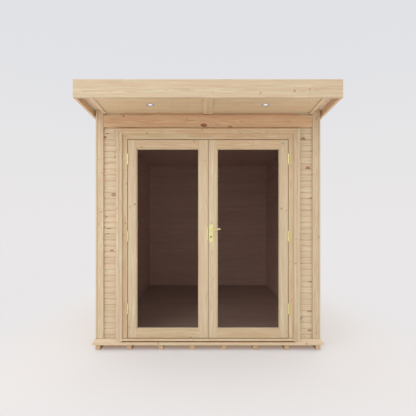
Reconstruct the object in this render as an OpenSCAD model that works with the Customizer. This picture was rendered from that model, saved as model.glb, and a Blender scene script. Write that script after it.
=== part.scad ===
// Garden office pod: a flat-roofed timber room with double glazed doors under a deep front canopy.
// Millimetres. The origin is on the ground, under the middle of the whole footprint, the roof
// included. +Z is up and the doors face -Y.

/* [Body] */
// Width over the corner trims
body_w = 2250; // [2150:10:3600]
// Depth over the corner trims
body_d = 3000; // [1800:10:4500]
// Height from the ground to the top of the front fascia
height = 2510; // [2480:10:3000]
// Thickness of a wall panel, cladding and lining included
wall_t = 50; // [40:1:120]
// Thickness of the corner trims planted on the cladding
trim_t = 22; // [15:1:30]
// Width of a corner trim
trim_w = 79; // [50:1:120]

/* [Roof] */
// Drop of the roof from the front wall to the back wall
roof_drop = 50; // [0:5:120]
// Reach of the canopy beyond the front wall
canopy = 500; // [200:10:900]
// Reach of the roof beyond the side and back walls
eaves = 42; // [38:1:120]
// Depth of the fascia boards
fascia_h = 158; // [140:1:220]
// Thickness of the fascia boards
fascia_t = 25; // [15:1:35]
// Height of the deck's underside above the bottom edge of the fascia
deck_rise = 61; // [50:1:90]
// Thickness of the roof deck with its joists
deck_t = 85; // [50:1:120]
// Thickness of the rubber roof covering
covering_t = 3; // [1:0.5:6]
// Depth of the ceiling with its battens
ceiling_t = 60; // [20:1:60]

/* [Canopy soffit] */
// Height of the soffit boards above the bottom edge of the fascia
soffit_rise = 30; // [15:1:45]
// Thickness of the soffit boards and of the trims under them
soffit_t = 12; // [8:1:18]
// Distance from the side of the body to the edge of the soffit
soffit_inset = 79; // [40:1:160]
// Width of the side soffit trims
soffit_side_w = 31; // [25:1:80]
// Width of the middle soffit trim
soffit_mid_w = 95; // [40:1:140]
// Gap between the two soffit panels, behind the middle trim
soffit_gap = 10; // [4:1:20]
// Distance of each downlight from the middle
light_x = 540; // [200:10:800]
// Distance of the downlights in front of the wall
light_y = 232; // [100:1:400]
// Diameter of the downlight's rim
light_d = 70; // [50:1:100]

/* [Floor] */
// Number of bearers
bearers = 8; // [4:1:12]
// Width of a bearer
bearer_w = 47; // [30:1:80]
// Height of a bearer
bearer_h = 48; // [30:1:100]
// Depth of the floor frame
frame_h = 46; // [40:1:60]
// Depth of the insulated floor panel between the walls
panel_h = 40; // [35:1:100]
// Thickness of the floor boards
floor_t = 16; // [10:1:25]

/* [Skirt] */
// Height of the skirt's upper edge, under the trims
skirt_top = 112; // [105:1:125]
// Height of the skirt's bottom edge
skirt_low = 55; // [49:1:62]
// Reach of the skirt beyond the trims
skirt_out = 26; // [15:1:34]
// Lean of the skirt board away from upright, in degrees
skirt_lean = 37; // [25:1:45]
// Thickness of the skirt board
skirt_t = 20; // [15:1:24]

/* [Doors] */
// Distance from the middle to the outer edge of each door
door_half = 800; // [600:10:900]
// Height of each door
door_h = 1981; // [1800:1:2000]
// Thickness of each door
door_t = 40; // [34:1:54]
// Gap between the two doors
meet_gap = 8; // [7:0.5:12]
// Gap at the top and the hinge edge of each door
edge_gap = 6; // [5:0.5:10]
// Gap under the doors
foot_gap = 6; // [5:0.5:20]
// Width of the hinge stiles
stile_w = 80; // [60:1:120]
// Distance from the middle to the inner edge of each meeting stile
meet_stile = 87; // [70:1:130]
// Height of the top rails
top_rail = 82; // [60:1:150]
// Height of the bottom rails
foot_rail = 88; // [60:1:250]
// Width of the glazing beads
bead_w = 14; // [8:1:20]
// Distance of the beads behind the face of the door
bead_back = 8; // [2:1:10]
// Thickness of the glass
glass_t = 4; // [3:1:6]

/* [Door frame] */
// Width of the jambs and the head
jamb_w = 70; // [45:1:90]
// Overlap of the stops behind the doors
stop_lap = 6; // [3:1:12]
// Height of the sill
sill_t = 20; // [15:1:40]
// Reach of the sill in front of the trims
sill_nose = 20; // [5:1:30]
// Width of each jamb left showing beside its architrave
jamb_show = 50; // [20:1:55]
// Height of the head left showing under its architrave
head_show = 54; // [20:1:60]
// Width of the side architraves
arch_w = 62; // [40:1:90]
// Height of the head architrave
arch_h = 50; // [40:1:90]
// Reach of the architraves in front of the trims
arch_t = 22; // [10:1:28]
// Gap between the head architrave and the frieze board
frieze_gap = 19; // [3:1:30]
// Gap between the frieze board and the soffit trims
frieze_top_gap = 11; // [1:0.5:20]
// Thickness of the frieze board
frieze_t = 18; // [10:1:22]

/* [Hinges and handle] */
// Height of a hinge
hinge_h = 105; // [70:1:130]
// Height of the middle of the lowest hinge
hinge_low = 415; // [300:5:600]
// Height of the middle of the centre hinge
hinge_mid = 1138; // [900:1:1300]
// Height of the middle of the highest hinge
hinge_top = 1908; // [1500:1:1920]
// Radius of the hinge knuckles
knuckle_r = 6.5; // [5:0.5:8]
// Radius of the hinge pins
pin_r = 2.5; // [2:0.1:3]
// Height of the lever's spindle
lever_z = 1199; // [950:1:1250]
// Distance from the edge of the right door to the spindle
backset = 23; // [22:1:40]
// Width of the handle plates
plate_w = 42; // [30:1:44]
// Height of the handle plates
plate_h = 180; // [120:1:240]
// Thickness of the handle plates
plate_t = 4; // [2:0.5:8]
// Length of the lever from its spindle to its tip
lever_len = 95; // [70:1:130]
// Radius of the lever's grip
grip_r = 7; // [5:0.5:9]

/* [Hidden] */
FINE = 48;
RUN_FIT = 0.05;
// Bedding gap under the sloping deck
seat = 0.2;
half_w = body_w / 2;
total_d = canopy + body_d + eaves;
front_y = -total_d / 2;
back_y = total_d / 2;
wall_y = front_y + canopy;
rear_y = back_y - eaves;
mid_y = (wall_y + rear_y) / 2;
roof_half = half_w + eaves;
slope = roof_drop / body_d;

// The wall is made of layers, each at its depth behind the faces of the trims
clad = trim_t;
inside = trim_t + wall_t;
room_half = half_w - inside;

frame_z = bearer_h + frame_h;
panel_z = frame_z + panel_h;
floor_z = panel_z + floor_t;

door_z = frame_z + sill_t + foot_gap;
door_top = door_z + door_h;
opening = door_half + edge_gap;
head_z = door_top + edge_gap;
jamb_out = opening + jamb_w;
head_top = head_z + jamb_w;
stop_y = door_t + edge_gap;
stop_in = opening - edge_gap - stop_lap;
arch_in = opening + jamb_show;
arch_out = arch_in + arch_w;
arch_z = head_z + head_show;
arch_top = arch_z + arch_h;
frieze_z = arch_top + frieze_gap;

// The skirt's inner face is parallel to its sloping outer face
skirt_deep = skirt_t / cos(skirt_lean);
skirt_reach = 60;
skirt_notch = 12;
skirt_tongue = 3;
rim_out = 5;

glass_y = bead_back + 10;
hinge_x = door_half + edge_gap / 2;
hinge_y = knuckle_r + 0.5;
flap_t = 2;
flap_d = 30;
lever_x = meet_gap + backset;
plate_z = lever_z - plate_h * 2 / 3 - 2;
neck_r = 8;
neck_len = 42;
lock_hole_r = 12;
keep_w = 10;
keep_h = 125;
keep_t = 2;
light_rim_t = 3;
light_body_t = 40;
light_fit = 2;

PINE = "burlywood";
BRASS = "gold";

// Height of the fascia's bottom edge at a place along Y
function eaves_z(y) = height - fascia_h - slope * (y - front_y);

// Height of the skirt's sloping face at a distance out from the trims
function skirt_z(out) = skirt_top - out / tan(skirt_lean);

// Distance out from the trims of the skirt's inner face at a height
function skirt_in(z) = (skirt_top - z) * tan(skirt_lean) - skirt_deep;

// Box from one corner to the opposite one
module block(low, high) {
    translate(low) cube(high - low);
}

// A copy on each side of the middle
module both_sides() {
    children();
    mirror([1, 0, 0]) children();
}

// Prism along X with an outline of [y, z] points
module along_x(x0, x1, outline) {
    translate([x0, 0, 0]) rotate([90, 0, 90]) linear_extrude(x1 - x0) polygon(outline);
}

// Slab that falls with the roof, between two heights above the fascia's bottom edge
module roof_slab(x0, x1, y0, y1, low, high) {
    along_x(x0, x1, [[y0, eaves_z(y0) + low], [y1, eaves_z(y1) + low],
        [y1, eaves_z(y1) + high], [y0, eaves_z(y0) + high]]);
}

// Upright wall from the floor frame to the underside of the deck
module wall_slab(x0, x1, y0, y1, low = frame_z) {
    along_x(x0, x1, [[y0, low], [y1, low],
        [y1, eaves_z(y1) + deck_rise - seat], [y0, eaves_z(y0) + deck_rise - seat]]);
}

// Turns a piece made for the right-hand wall to another wall: -90 front, 90 back, 180 left.
// There, x is the distance out from the trims and y runs along the wall.
module on_wall(turn) {
    reach = abs(turn) == 90 ? body_d / 2 : half_w;
    translate([0, mid_y, 0]) rotate([0, 0, turn]) translate([reach, 0, 0]) children();
}

// Prism along a wall with an outline of [out, z] points, mitred at both corners
module mitred(turn, outline) {
    half = abs(turn) == 90 ? half_w : body_d / 2;
    deep = clad + 10;
    on_wall(turn) intersection() {
        rotate([90, 0, 0]) linear_extrude(2 * half + 2 * skirt_reach, center = true)
            polygon(outline);
        linear_extrude(height) polygon([[-deep, deep - half], [skirt_reach, -skirt_reach - half],
            [skirt_reach, skirt_reach + half], [-deep, half - deep]]);
    }
}

// Everything under the skirt's sloping face and its level top, for cutting the trims to it
module under_skirt(turn) {
    outline = [[skirt_reach, 0], [skirt_reach, skirt_z(skirt_reach)], [0, skirt_top],
        [-skirt_reach, skirt_top], [-skirt_reach, 0]];
    on_wall(turn) rotate([90, 0, 0])
        linear_extrude(max(body_w, body_d) + 2 * skirt_reach, center = true) polygon(outline);
}

// The board leans outwards, with a level top, a plumb nose and a level bottom. Its top runs back
// to the cladding, as a tongue where the trims are thicker than the board is deep.
module skirt_board(turn) {
    back_z = skirt_top - max(skirt_tongue, (skirt_deep - clad) / tan(skirt_lean));
    tongue = skirt_in(back_z) > 0.01 - clad ? [[skirt_in(back_z), back_z]] : [];
    mitred(turn, concat([[-clad, back_z], [-clad, skirt_top], [0, skirt_top],
        [skirt_out, skirt_z(skirt_out)], [skirt_out, skirt_low],
        [skirt_in(skirt_low), skirt_low]], tongue));
}

// ---- Floor ----

module floor_bearers() {
    first = -half_w + bearer_w / 2;
    pitch = (body_w - bearer_w) / (bearers - 1);
    color(PINE)
        for (i = [0 : bearers - 1])
            translate([first + i * pitch - bearer_w / 2, wall_y, 0])
                cube([bearer_w, body_d, bearer_h]);
}

// The rim of the frame is bevelled to back the skirt boards
module floor_frame() {
    edge = half_w - clad;
    bevel_z = skirt_top - (rim_out + skirt_deep) / tan(skirt_lean);
    color(PINE) {
        block([-edge, wall_y + clad, bearer_h], [edge, rear_y - clad, frame_z]);
        for (turn = [-90, 0, 90, 180])
            mitred(turn, [[-clad - 1, bearer_h], [rim_out, bearer_h], [rim_out, bevel_z],
                [skirt_in(frame_z), frame_z], [-clad - 1, frame_z]]);
    }
}

// One layer of the floor, with a tongue into the doorway up to the backs of the doors
module floor_layer(low, high) {
    block([-room_half, wall_y + inside, low], [room_half, rear_y - inside, high]);
    block([-stop_in, wall_y + stop_y, low], [stop_in, wall_y + inside + 1, high]);
}

module floor_panel() {
    color("tan") floor_layer(frame_z, panel_z);
}

module floor_boards() {
    color(PINE) floor_layer(panel_z, floor_z);
}

// The front skirt is cut down under the door sill
module skirt_front() {
    color(PINE) difference() {
        skirt_board(-90);
        block([-jamb_out, wall_y - skirt_reach, frame_z - skirt_notch],
            [jamb_out, wall_y + skirt_reach, frame_z + skirt_reach]);
    }
}

module skirt_back() {
    color(PINE) skirt_board(90);
}

module skirt_sides() {
    color(PINE) {
        skirt_board(0);
        skirt_board(180);
    }
}

// ---- Walls ----

module side_wall() {
    wall_slab(room_half, room_half + wall_t, wall_y + clad, rear_y - clad);
}

module left_wall() {
    color(PINE) mirror([1, 0, 0]) side_wall();
}

module right_wall() {
    color(PINE) side_wall();
}

module back_wall() {
    color(PINE) wall_slab(-room_half, room_half, rear_y - inside, rear_y - clad);
}

module front_wall_left() {
    color(PINE) wall_slab(-room_half, -jamb_out, wall_y + clad, wall_y + inside);
}

module front_wall_right() {
    color(PINE) wall_slab(jamb_out, room_half, wall_y + clad, wall_y + inside);
}

module front_wall_over_door() {
    color(PINE) wall_slab(-jamb_out, jamb_out, wall_y + clad, wall_y + inside, head_top);
}

module frieze_board() {
    side = half_w - trim_w;
    face = wall_y + clad - frieze_t;
    top = eaves_z(face) + soffit_rise - soffit_t - frieze_top_gap;
    color("peru") block([-side, face, frieze_z], [side, wall_y + clad, top]);
}

// ---- Corner trims ----

// Strips on the front or back face, between the strips on the side faces
module face_strips(y0, y1) {
    difference() {
        both_sides() wall_slab(half_w - trim_w, half_w - trim_t, y0, y1, 0);
        for (turn = [-90, 0, 90, 180])
            under_skirt(turn);
    }
}

module front_corner_trims() {
    color(PINE) face_strips(wall_y, wall_y + trim_t);
}

module back_corner_trims() {
    color(PINE) face_strips(rear_y - trim_t, rear_y);
}

module side_corner_trims() {
    color(PINE) difference() {
        both_sides() {
            wall_slab(half_w - trim_t, half_w, wall_y, wall_y + trim_w, 0);
            wall_slab(half_w - trim_t, half_w, rear_y - trim_w, rear_y, 0);
        }
        for (turn = [-90, 0, 90, 180])
            under_skirt(turn);
    }
}

// ---- Door frame ----

module door_jambs() {
    color(PINE) difference() {
        both_sides() {
            block([opening, wall_y, frame_z], [jamb_out, wall_y + inside, head_z]);
            block([stop_in, wall_y + stop_y, frame_z], [opening + 1, wall_y + inside, head_z]);
        }
        both_sides() hinge_places()
            block([opening - 1, wall_y - 1, -hinge_h / 2],
                [opening + flap_t, wall_y + flap_d, hinge_h / 2]);
    }
}

module door_head() {
    color(PINE) {
        block([-jamb_out, wall_y, head_z], [jamb_out, wall_y + inside, head_top]);
        block([-stop_in, wall_y + stop_y, head_z - edge_gap - stop_lap],
            [stop_in, wall_y + inside, head_z + 1]);
    }
}

module door_sill() {
    color(PINE) {
        block([-opening, wall_y - 1, frame_z], [opening, wall_y + stop_y, frame_z + sill_t]);
        block([-arch_in, wall_y - sill_nose, frame_z], [arch_in, wall_y, frame_z + sill_t]);
    }
}

// Outline, seen from the front, of the side architrave from a distance out from the middle
module side_arch_outline(from_x) {
    rise = arch_h / arch_w;
    polygon([[from_x, 0], [arch_out, 0], [arch_out, arch_top],
        [from_x, arch_z + (from_x - arch_in) * rise]]);
}

// Outline, seen from the front, of the head architrave from a height
module head_arch_outline(from_z) {
    run = arch_w / arch_h;
    low = arch_in + (from_z - arch_z) * run;
    polygon([[-low, from_z], [low, from_z], [arch_out, arch_top], [-arch_out, arch_top]]);
}

// Layer of the front, from one distance in front of the trims to another
module face_layer(back, front) {
    translate([0, wall_y - back, 0]) rotate([90, 0, 0]) linear_extrude(front - back) children();
}

module side_architraves() {
    color(PINE) difference() {
        both_sides() {
            face_layer(0, arch_t) side_arch_outline(arch_in);
            face_layer(-clad, 1) side_arch_outline(jamb_out);
        }
        under_skirt(-90);
    }
}

module head_architrave() {
    color(PINE) {
        face_layer(0, arch_t) head_arch_outline(arch_z);
        face_layer(-clad, 1) head_arch_outline(head_top);
    }
}

// ---- Roof ----

module ceiling_panel() {
    color("tan") roof_slab(-room_half, room_half, wall_y + inside, rear_y - inside,
        deck_rise - ceiling_t, deck_rise - seat);
}

module roof_deck() {
    side = roof_half - fascia_t;
    color("tan") roof_slab(-side, side, front_y + fascia_t, back_y - fascia_t,
        deck_rise, deck_rise + deck_t);
}

module roof_covering() {
    side = roof_half - fascia_t;
    color("dimgray") roof_slab(-side, side, front_y + fascia_t, back_y - fascia_t,
        deck_rise + deck_t, deck_rise + deck_t + covering_t);
}

module front_fascia() {
    low = height - fascia_h;
    color(PINE) block([-roof_half, front_y, low], [roof_half, front_y + fascia_t, height]);
}

module back_fascia() {
    low = eaves_z(back_y);
    color(PINE) block([-roof_half, back_y - fascia_t, low],
        [roof_half, back_y, low + fascia_h]);
}

module side_fascias() {
    color(PINE) both_sides() roof_slab(roof_half - fascia_t, roof_half,
        front_y + fascia_t, back_y - fascia_t, 0, fascia_h);
}

// Upright drum through the soffit at each downlight
module light_places() {
    both_sides() translate([light_x, wall_y - light_y, eaves_z(wall_y - light_y)])
        rotate([-atan(slope), 0, 0]) children();
}

module soffit_boards() {
    side = half_w - soffit_inset;
    color("peru") difference() {
        both_sides() roof_slab(soffit_gap / 2, side, front_y + fascia_t, wall_y + clad,
            soffit_rise, soffit_rise + soffit_t);
        light_places() cylinder(r = light_d / 2 - light_rim_t, h = deck_rise, $fn = FINE);
    }
}

module soffit_trims() {
    side = half_w - soffit_inset;
    front = front_y + fascia_t;
    back = wall_y + clad;
    color(PINE) {
        both_sides() roof_slab(side - soffit_side_w, side, front, back,
            soffit_rise - soffit_t, soffit_rise);
        roof_slab(-soffit_mid_w / 2, soffit_mid_w / 2, front, back,
            soffit_rise - soffit_t, soffit_rise);
    }
}

module downlights() {
    body_r = light_d / 2 - light_rim_t - light_fit;
    body_top = min(soffit_rise + light_body_t, deck_rise - 1);
    color("white") light_places() {
        translate([0, 0, soffit_rise - light_rim_t])
            cylinder(r = light_d / 2, h = light_rim_t, $fn = FINE);
        translate([0, 0, soffit_rise - 1])
            cylinder(r = body_r, h = body_top - soffit_rise + 1, $fn = FINE);
    }
}

// ---- Hinges ----

module hinge_places() {
    for (z = [hinge_low, hinge_mid, hinge_top])
        translate([0, 0, z]) children();
}

// One knuckle with the part of the flap that joins it, towards (side = 1) or away from the jamb
module knuckle(side, z0, z1) {
    reach = edge_gap / 2;
    translate([0, 0, z0]) {
        cylinder(r = knuckle_r, h = z1 - z0, $fn = FINE);
        translate([side > 0 ? reach : -reach - flap_t, 0, 0])
            cube([flap_t, hinge_y + 1, z1 - z0]);
    }
}

// Half of a hinge with its middle at the origin of the pin
module flap(side) {
    reach = edge_gap / 2;
    translate([side > 0 ? reach : -reach - flap_t, hinge_y, -hinge_h / 2])
        cube([flap_t, flap_d, hinge_h]);
}

module frame_hinges() {
    third = hinge_h / 6;
    color(BRASS) both_sides() translate([hinge_x, wall_y - hinge_y, 0]) hinge_places() {
        flap(1);
        knuckle(1, -hinge_h / 2, -third - 0.25);
        knuckle(1, third + 0.25, hinge_h / 2);
        translate([0, 0, -hinge_h / 2]) cylinder(r = pin_r, h = hinge_h, $fn = FINE);
    }
}

// The door's half of each right-hand hinge turns on the pin
module door_hinges() {
    third = hinge_h / 6;
    translate([hinge_x, wall_y - hinge_y, 0]) hinge_places() difference() {
        union() {
            flap(-1);
            knuckle(-1, 0.25 - third, third - 0.25);
        }
        translate([0, 0, -hinge_h]) cylinder(r = pin_r + RUN_FIT, h = 2 * hinge_h, $fn = FINE);
    }
}

// ---- Doors: each is made as the right-hand one, from its meeting edge out to its hinges ----

module stiles(meet_edge) {
    difference() {
        union() {
            block([meet_edge, wall_y, door_z], [meet_stile, wall_y + door_t, door_top]);
            block([door_half - stile_w, wall_y, door_z],
                [door_half, wall_y + door_t, door_top]);
        }
        hinge_places() block([door_half - flap_t, wall_y - 1, -hinge_h / 2],
            [door_half + 1, wall_y + flap_d, hinge_h / 2]);
    }
}

module rails() {
    inner = door_half - stile_w;
    block([meet_stile, wall_y, door_z], [inner, wall_y + door_t, door_z + foot_rail]);
    block([meet_stile, wall_y, door_top - top_rail], [inner, wall_y + door_t, door_top]);
}

module glass() {
    block([meet_stile, wall_y + glass_y, door_z + foot_rail],
        [door_half - stile_w, wall_y + glass_y + glass_t, door_top - top_rail]);
}

// A ring of bead before the glass and one behind it
module beads() {
    low = [meet_stile, door_z + foot_rail];
    high = [door_half - stile_w, door_top - top_rail];
    depth = glass_y - bead_back;
    for (y = [bead_back, glass_y + glass_t])
        difference() {
            block([low[0], wall_y + y, low[1]], [high[0], wall_y + y + depth, high[1]]);
            block([low[0] + bead_w, wall_y + y - 1, low[1] + bead_w],
                [high[0] - bead_w, wall_y + y + depth + 1, high[1] - bead_w]);
        }
}

module left_door_stiles() {
    color(PINE) mirror([1, 0, 0]) stiles(0);
}

module left_door_rails() {
    color(PINE) mirror([1, 0, 0]) rails();
}

module left_door_glass() {
    color("dimgray") mirror([1, 0, 0]) glass();
}

module left_door_beads() {
    color("tan") mirror([1, 0, 0]) beads();
}

module left_door_hinges() {
    color(BRASS) mirror([1, 0, 0]) door_hinges();
}

// Brass plate that the right door's latch closes against
module left_door_keep() {
    color(BRASS) block([-keep_w - 1, wall_y - keep_t, lever_z - keep_h * 0.78],
        [-1, wall_y, lever_z + keep_h * 0.22]);
}

module right_door_stiles() {
    color(PINE) difference() {
        stiles(meet_gap);
        spindle_line(wall_y - 1, wall_y + door_t + 1, lock_hole_r);
    }
}

module right_door_rails() {
    color(PINE) rails();
}

module right_door_glass() {
    color("dimgray") glass();
}

module right_door_beads() {
    color("tan") beads();
}

module right_door_hinges() {
    color(BRASS) door_hinges();
}

// ---- Handle ----

// Round bar on the line of the spindle between two places along Y
module spindle_line(y0, y1, r) {
    translate([lever_x, y0, lever_z]) rotate([-90, 0, 0])
        cylinder(r = r, h = y1 - y0, $fn = FINE);
}

module handle_plates() {
    outer = wall_y;
    inner = wall_y + door_t;
    color(BRASS) difference() {
        for (y = [outer - plate_t, inner])
            block([lever_x - plate_w / 2, y, plate_z],
                [lever_x + plate_w / 2, y + plate_t, plate_z + plate_h]);
        spindle_line(outer - plate_t - 1, inner + plate_t + 1, neck_r + RUN_FIT);
    }
}

// Levers outside and inside on one spindle
module door_lever() {
    outer = wall_y - neck_len;
    inner = wall_y + door_t + neck_len;
    color(BRASS) {
        spindle_line(outer, inner, neck_r);
        for (y = [outer, inner]) {
            translate([lever_x, y, lever_z]) rotate([0, 90, 0])
                cylinder(r = grip_r, h = lever_len - grip_r, $fn = FINE);
            translate([lever_x + lever_len - grip_r, y, lever_z])
                sphere(r = grip_r, $fn = FINE);
            translate([lever_x, y, lever_z]) sphere(r = neck_r, $fn = FINE);
        }
    }
}

floor_bearers();
floor_frame();
floor_panel();
floor_boards();
skirt_front();
skirt_back();
skirt_sides();
left_wall();
right_wall();
back_wall();
front_wall_left();
front_wall_right();
front_wall_over_door();
frieze_board();
front_corner_trims();
back_corner_trims();
side_corner_trims();
door_jambs();
door_head();
door_sill();
side_architraves();
head_architrave();
ceiling_panel();
roof_deck();
roof_covering();
front_fascia();
back_fascia();
side_fascias();
soffit_boards();
soffit_trims();
downlights();
frame_hinges();
left_door_stiles();
left_door_rails();
left_door_glass();
left_door_beads();
left_door_hinges();
left_door_keep();
right_door_stiles();
right_door_rails();
right_door_glass();
right_door_beads();
right_door_hinges();
handle_plates();
door_lever();
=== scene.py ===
"""Looks of the garden office pod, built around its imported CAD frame.

Metres, +Z up, the doors face -Y. Timber pieces are gathered board by board. Each board has its own
grain, which its material reads as the place of every point within the log that the board came from.
"""

import random
from math import atan, ceil, cos, floor, pi, radians, sin, tan

import bmesh
import bpy
from mathutils import Matrix, Vector

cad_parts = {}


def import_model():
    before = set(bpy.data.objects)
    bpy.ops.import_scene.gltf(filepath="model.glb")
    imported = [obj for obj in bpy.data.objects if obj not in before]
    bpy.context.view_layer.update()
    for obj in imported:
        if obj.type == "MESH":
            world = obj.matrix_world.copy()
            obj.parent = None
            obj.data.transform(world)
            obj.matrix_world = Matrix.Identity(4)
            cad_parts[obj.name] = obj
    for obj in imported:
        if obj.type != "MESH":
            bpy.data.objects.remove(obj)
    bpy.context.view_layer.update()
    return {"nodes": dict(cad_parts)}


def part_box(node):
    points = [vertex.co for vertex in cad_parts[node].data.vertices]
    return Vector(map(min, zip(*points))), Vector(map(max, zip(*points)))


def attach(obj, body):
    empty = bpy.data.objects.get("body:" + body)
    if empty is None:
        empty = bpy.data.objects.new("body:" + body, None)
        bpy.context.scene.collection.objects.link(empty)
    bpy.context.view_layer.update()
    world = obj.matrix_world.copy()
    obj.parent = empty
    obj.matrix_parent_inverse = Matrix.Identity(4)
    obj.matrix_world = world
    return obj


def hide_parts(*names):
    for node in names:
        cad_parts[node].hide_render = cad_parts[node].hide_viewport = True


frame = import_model()

# ---- Directions ----

MM = 0.001
LEFT, RIGHT = Vector((-1, 0, 0)), Vector((1, 0, 0))
SIDES = LEFT, RIGHT
FRONT, BACK = Vector((0, -1, 0)), Vector((0, 1, 0))
UP = Vector((0, 0, 1))

# ---- Sizes that come from the frame ----

WALL_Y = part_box("front_corner_trims")[0].y
REAR_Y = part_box("back_corner_trims")[1].y
HALF_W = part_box("side_corner_trims")[1].x
CLAD_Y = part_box("front_wall_left")[0].y
INNER_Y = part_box("front_wall_left")[1].y
CLAD = CLAD_Y - WALL_Y
ROOM_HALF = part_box("back_wall")[1].x
SKIRT_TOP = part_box("skirt_back")[1].z
SKIRT_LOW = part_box("skirt_back")[0].z
SKIRT_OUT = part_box("skirt_back")[1].y - REAR_Y

FASCIA_LOW, FASCIA_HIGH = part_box("front_fascia")
FRONT_Y, EAVES_Z = FASCIA_LOW.y, FASCIA_LOW.z
BACK_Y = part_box("back_fascia")[1].y
ROOF_HALF = FASCIA_HIGH.x
FASCIA_T = FASCIA_HIGH.y - FRONT_Y
FASCIA_H = FASCIA_HIGH.z - EAVES_Z
SLOPE = (EAVES_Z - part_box("back_fascia")[0].z) / (BACK_Y - FRONT_Y)
FALL = atan(SLOPE)
DOWN_ROOF = Vector((0, cos(FALL), -sin(FALL)))
OFF_ROOF = Vector((0, sin(FALL), cos(FALL)))
UNDER_ROOF = -OFF_ROOF


def eaves(y):
    """Height of the fascia's bottom edge at a place along Y."""
    return EAVES_Z - SLOPE * (y - FRONT_Y)


def under_rise(node):
    """Height of a roof layer's underside above the fascia's bottom edge."""
    low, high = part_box(node)
    return low.z - eaves(high.y)


def top_rise(node):
    """Height of a roof layer's top above the fascia's bottom edge."""
    low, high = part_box(node)
    return high.z - eaves(low.y)


def off_roof(rise):
    """Distance of a roof layer from the origin, square to the roof."""
    return (eaves(0) + rise) * cos(FALL)


def down_roof(y, rise):
    """Distance along the fall of the roof to a place along Y."""
    return Vector((0, y, eaves(y) + rise)).dot(DOWN_ROOF)


def roof_span(node, rise, spare):
    """(start, end) of a roof layer along the fall, with a little to spare at its low end."""
    low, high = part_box(node)
    return down_roof(low.y + SEAT, rise), down_roof(high.y - spare, rise)


def span(node, direction):
    """(low, high) of a node's box along a direction."""
    return sorted(corner.dot(direction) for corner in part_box(node))


DECK_RISE = under_rise("roof_deck")
SEAT = 0.2 * MM
LOOSE = 5 * SEAT

# ---- Sizes of the details ----

EASE, STRIP_EASE, FASCIA_EASE = 1.6 * MM, 5 * MM, 2 * MM
EASE_STEPS = 2
SHARP = radians(30)
CLADDING_T, LINING_T = 18 * MM, 12 * MM
CLADDING_PITCH, CLADDING_JOINT = 59.4 * MM, 2228 * MM
LINING_PITCH, FLOOR_PITCH, SOFFIT_PITCH = 105 * MM, 121 * MM, 124 * MM
# Width and depth of the chamfer along a board's edge
CLADDING_V = 6.5 * MM, 5 * MM
LINING_V = 3.5 * MM, 3 * MM
SOFFIT_V = 2.5 * MM, 2 * MM
FLOOR_V = 1.25 * MM, 1 * MM
BOARD_GAP = 0.3 * MM
SKIRT_T, SKIRT_LEAN = 20 * MM, radians(37)
SMALLEST_BOARD = 12 * MM
BEARERS, BEARER_W = 8, 47 * MM
SKIRT_NOTCH, FILLET_T = 12 * MM, 9 * MM
SOFFIT_STRIP_W, SOFFIT_MIDDLE_HALF = 31 * MM, 47.5 * MM
SOFFIT_SPLIT = 5 * MM
JAMB_T, JAMB_CLEAR = 82 * MM, 70 * MM
PLATE_STEPS = 3
ROUND, SCREW_ROUND, BOSS_ROUND, LAMP_ROUND = 24, 16, 32, 48

GRAIN, TONE = "grain", "tone"
PITH_NEAR, PITH_FAR, PITH_ASIDE = 45 * MM, 120 * MM, 0.4
LOG_LENGTH = 90


# ---- Materials ----


def srgb(red, green, blue):
    """Colour for a socket from 8-bit values as they look on screen."""
    shares = [c / 255 for c in (red, green, blue)]
    linear = [c / 12.92 if c <= 0.04045 else ((c + 0.055) / 1.055) ** 2.4 for c in shares]
    return (*linear, 1)


class Graph:
    """The node tree of one material or of the world."""

    def __init__(self, owner):
        owner.use_nodes = True
        self.owner = owner
        self.tree = owner.node_tree
        self.tree.nodes.clear()

    def node(self, kind, inputs=(), **settings):
        """A new shader node. A socket among the inputs is linked; any other value is set."""
        made = self.tree.nodes.new("ShaderNode" + kind)
        for key, value in settings.items():
            setattr(made, key, value)
        for key, value in inputs.items() if isinstance(inputs, dict) else enumerate(inputs):
            if isinstance(value, bpy.types.NodeSocket):
                self.tree.links.new(value, made.inputs[key])
            elif value is not None:
                made.inputs[key].default_value = value
        return made

    def place(self):
        """Where a point is on its object."""
        return self.node("TexCoord").outputs["Object"]

    def parts(self, vector):
        return self.node("SeparateXYZ", (vector,)).outputs

    def math(self, operation, *values):
        return self.node("Math", values, operation=operation).outputs[0]

    def product(self, first, second):
        return self.math("MULTIPLY", first, second)

    def line(self, value, slope, start):
        """A value times a slope, plus a start."""
        return self.math("MULTIPLY_ADD", value, slope, start)

    def scaled(self, vector, scale):
        return self.node("VectorMath", (vector, scale), operation="MULTIPLY").outputs[0]

    def noise(self, vector, scale, detail=2.0, roughness=0.5):
        """Noise with a number of lumps a metre, which may differ along the axes."""
        if isinstance(scale, tuple):
            vector, scale = self.scaled(vector, scale), 1.0
        sockets = {"Vector": vector, "Scale": scale, "Detail": detail, "Roughness": roughness}
        return self.node("TexNoise", sockets).outputs[0]

    def ease(self, value, low, high, to_low=0.0, to_high=1.0):
        """The value eased from one range to another."""
        sockets = {0: value, 1: low, 2: high, 3: to_low, 4: to_high}
        return self.node("MapRange", sockets, interpolation_type="SMOOTHSTEP").outputs[0]

    def mix(self, share, first, second, blend="MIX"):
        sockets = {0: share, 6: first, 7: second}
        return self.node("Mix", sockets, data_type="RGBA", blend_type=blend).outputs[2]

    def bump(self, height, distance, strength, normal=None):
        sockets = {"Height": height, "Distance": distance, "Strength": strength, "Normal": normal}
        return self.node("Bump", sockets).outputs[0]

    def principled(self, colour, rough, normal=None, **others):
        sockets = {"Base Color": colour, "Roughness": rough, "Normal": normal, **others}
        return self.node("BsdfPrincipled", sockets).outputs[0]

    def surface(self, shader):
        """Ends a material, which it returns."""
        self.node("OutputMaterial", {"Surface": shader})
        return self.owner

    def coat(self, *sockets, **others):
        return self.surface(self.principled(*sockets, **others))


def material(name):
    return Graph(bpy.data.materials.new(name))


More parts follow.
